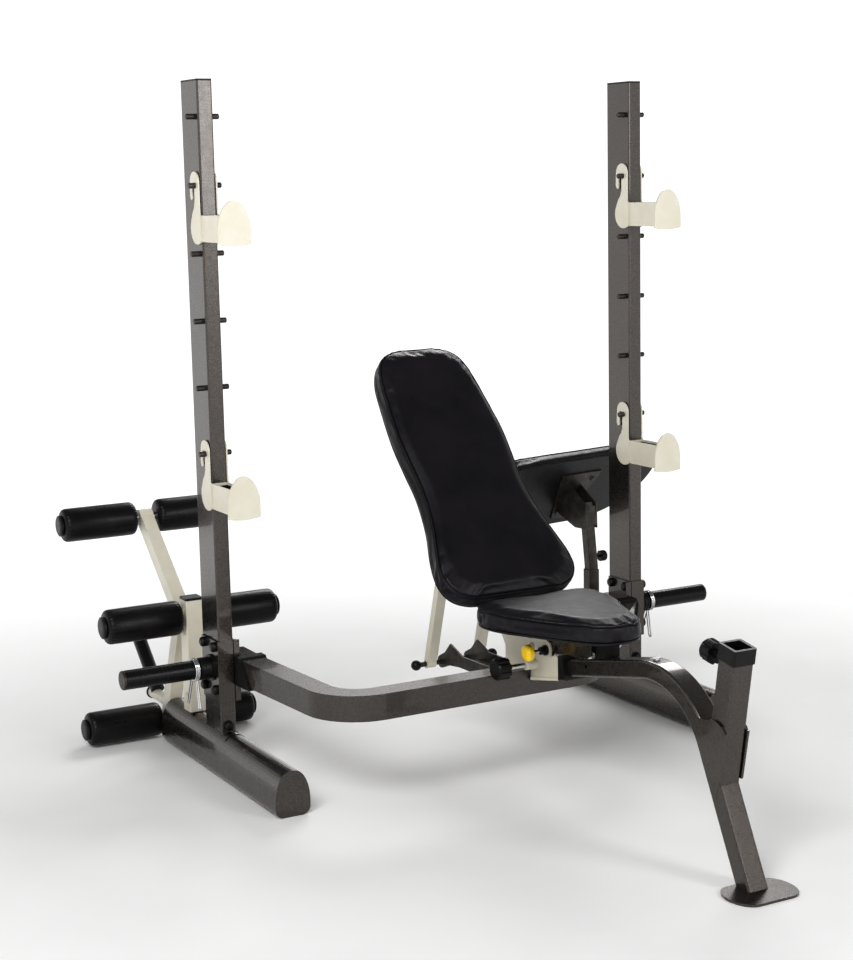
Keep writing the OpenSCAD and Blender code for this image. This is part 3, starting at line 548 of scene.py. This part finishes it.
upright_low, upright_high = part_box("uprights")
stub_low, stub_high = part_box("storage_stubs")
UPRIGHT_W = 38 * MM
UPRIGHT_D = 100 * MM
STUB = 32 * MM
upright_x = (upright_high.x - upright_low.x - UPRIGHT_W) / 2
rack_x = (upright_high.x + upright_low.x) / 2
for side, sign in (("left", -1), ("right", 1)):
    upright = Vector((rack_x + sign * upright_x, (upright_low.y + upright_high.y) / 2, 0))
    weld_at_foot(f"upright_weld_{side}", upright, UPRIGHT_W + 2 * MM, UPRIGHT_D + 2 * MM)
    stub = Vector((rack_x + sign * upright_x, (stub_low.y + stub_high.y) / 2, 0))
    weld_at_foot(f"stub_weld_{side}", stub, STUB + 2 * MM, STUB + 2 * MM)


# ---------------------------------------------------------------- caps at the foot of the uprights

def turned_cap(name, slot, body, base, radius, height):
    """A domed cap that stands out of a face towards -Y."""
    sides = 32
    profile = [(1, 0), (1, 0.45), (0.93, 0.68), (0.78, 0.86), (0.5, 0.97), (0.12, 1)]
    points = []
    for reach, out in profile:
        r = radius * reach
        turns = [2 * math.pi * k / sides for k in range(sides)]
        points += [base + Vector((r * math.cos(t), -height * out, r * math.sin(t))) for t in turns]
    faces = rings_to_faces(len(profile), sides)
    faces += [tuple(reversed(range(sides))), tuple(range(sides * (len(profile) - 1), sides * len(profile)))]
    return new_piece(name, slot, body, points, faces)


def strap(name, slot, body, path, width, thick):
    """A flat band laid along a path that runs across X."""
    section = [(-width / 2, 0), (width / 2, 0), (width / 2, thick), (-width / 2, thick)]
    points = [p + Vector((0, y, z)) for p in path for y, z in section]
    last = len(points)
    faces = rings_to_faces(len(path), 4) + [(3, 2, 1, 0), tuple(range(last - 4, last))]
    return new_piece(name, slot, body, points, faces, smooth=False)


CAP_UP = 121 * MM
BAND_AHEAD = 36 * MM
BAND_HALF = 26 * MM
for side, sign in (("left", -1), ("right", 1)):
    foot_x = rack_x + sign * upright_x
    cap_base = Vector((foot_x, upright_low.y + 0.5 * MM, CAP_UP))
    turned_cap(f"base_cap_{side}", "black_plastic", "rack", cap_base, 12 * MM, 13 * MM)
    band_y = upright_low.y - BAND_AHEAD
    across = np.linspace(-BAND_HALF, BAND_HALF, 24)
    over = drop_onto("feet", [Vector((foot_x + x, band_y, 0)) for x in across], -0.2 * MM)
    strap(f"foot_band_{side}", "black_rubber", "rack", over, 3.5 * MM, 1.4 * MM)


# ---------------------------------------------------------------- stage, light and camera

def camera():
    """At the height of a standing person, in front of the seat end and to its left."""
    place = Vector((-2.285526, -3.730649, 1.42041))
    yaw, pitch, roll = (math.radians(a) for a in (28.6587, 9.2456, -1.1883))
    ahead = Vector((math.sin(yaw) * math.cos(pitch), math.cos(yaw) * math.cos(pitch), -math.sin(pitch)))
    level = Vector((math.cos(yaw), -math.sin(yaw), 0))
    above = level.cross(ahead)
    right = level * math.cos(roll) + above * math.sin(roll)
    top = above * math.cos(roll) - level * math.sin(roll)
    data = bpy.data.cameras.new("camera")
    data.lens = 70.506
    data.sensor_width = 36
    data.clip_end = 100
    eye = bpy.data.objects.new("camera", data)
    eye.matrix_world = Matrix.Translation(place) @ Matrix((right, top, -ahead)).transposed().to_4x4()
    bpy.context.scene.collection.objects.link(eye)
    bpy.context.scene.camera = eye


def softbox(name, place, target, width, height, power):
    data = bpy.data.lights.new(name, "AREA")
    data.shape = "RECTANGLE"
    data.size = width
    data.size_y = height
    data.energy = power
    light = bpy.data.objects.new(name, data)
    light.location = place
    light.rotation_euler = (Vector(target) - Vector(place)).to_track_quat("-Z", "Y").to_euler()
    bpy.context.scene.collection.objects.link(light)


FLOOR_REACH = 40
PAPER_NEAR = 1.2
PAPER_FAR = 3.2


def floor():
    """Pale paper that glows evenly white away from the bench, so that it meets the white studio wall."""
    paper = Surface("floor_paper", Roughness=0.8, Specular_IOR_Level=0.1, Emission_Color=(1, 1, 1, 1))
    away = paper.add("ShaderNodeVectorMath", {0: paper.place}, operation="LENGTH").outputs["Value"]
    glow = paper.remap(away, 0, 1, PAPER_NEAR, PAPER_FAR)
    tone = paper.blend(paper.remap(paper.noise(3, 3.0), 0, 1), (0.93, 0.93, 0.925), (0.9, 0.9, 0.897))
    paper.colour(paper.blend(glow, tone, (0.0, 0.0, 0.0)))
    paper.feed(paper.shader.inputs["Emission Strength"], glow)
    mesh = bpy.data.meshes.new("floor")
    square = ((-1, -1), (1, -1), (1, 1), (-1, 1))
    corners = [(x * FLOOR_REACH, y * FLOOR_REACH, -0.5 * MM) for x, y in square]
    mesh.from_pydata(corners, [], [(0, 1, 2, 3)])
    sheet = bpy.data.objects.new("floor", mesh)
    mesh.materials.append(paper.relief((paper.noise(60, 3.0), 0.03, 0.001)))
    bpy.context.scene.collection.objects.link(sheet)


def studio():
    """White round the horizon, dimmer overhead, with three soft boxes."""
    world = bpy.data.worlds.new("studio")
    world.use_nodes = True
    nodes = world.node_tree.nodes
    links = world.node_tree.links
    direction = nodes.new("ShaderNodeTexCoord")
    split = nodes.new("ShaderNodeSeparateXYZ")
    fade = nodes.new("ShaderNodeMapRange")
    links.new(direction.outputs["Generated"], split.inputs["Vector"])
    links.new(split.outputs["Z"], fade.inputs["Value"])
    for key, value in (("From Min", 0.1), ("From Max", 0.45), ("To Min", 1.0), ("To Max", 0.22)):
        fade.inputs[key].default_value = value
    links.new(fade.outputs["Result"], nodes["Background"].inputs["Strength"])
    nodes["Background"].inputs["Color"].default_value = (1, 1, 1, 1)
    bpy.context.scene.world = world
    middle = (0, -0.2, 0.7)
    softbox("key_light", (-3.2, -2.6, 3.4), middle, 2.2, 1.6, 110)
    softbox("front_light", (1.6, -4.2, 2.2), middle, 1.2, 2.2, 45)
    softbox("back_light", (2.2, 3.2, 3.0), middle, 2.6, 1.4, 75)
    bpy.context.scene.view_settings.view_transform = "Standard"
    bpy.context.scene.view_settings.look = "Medium High Contrast"


floor()
studio()
camera()
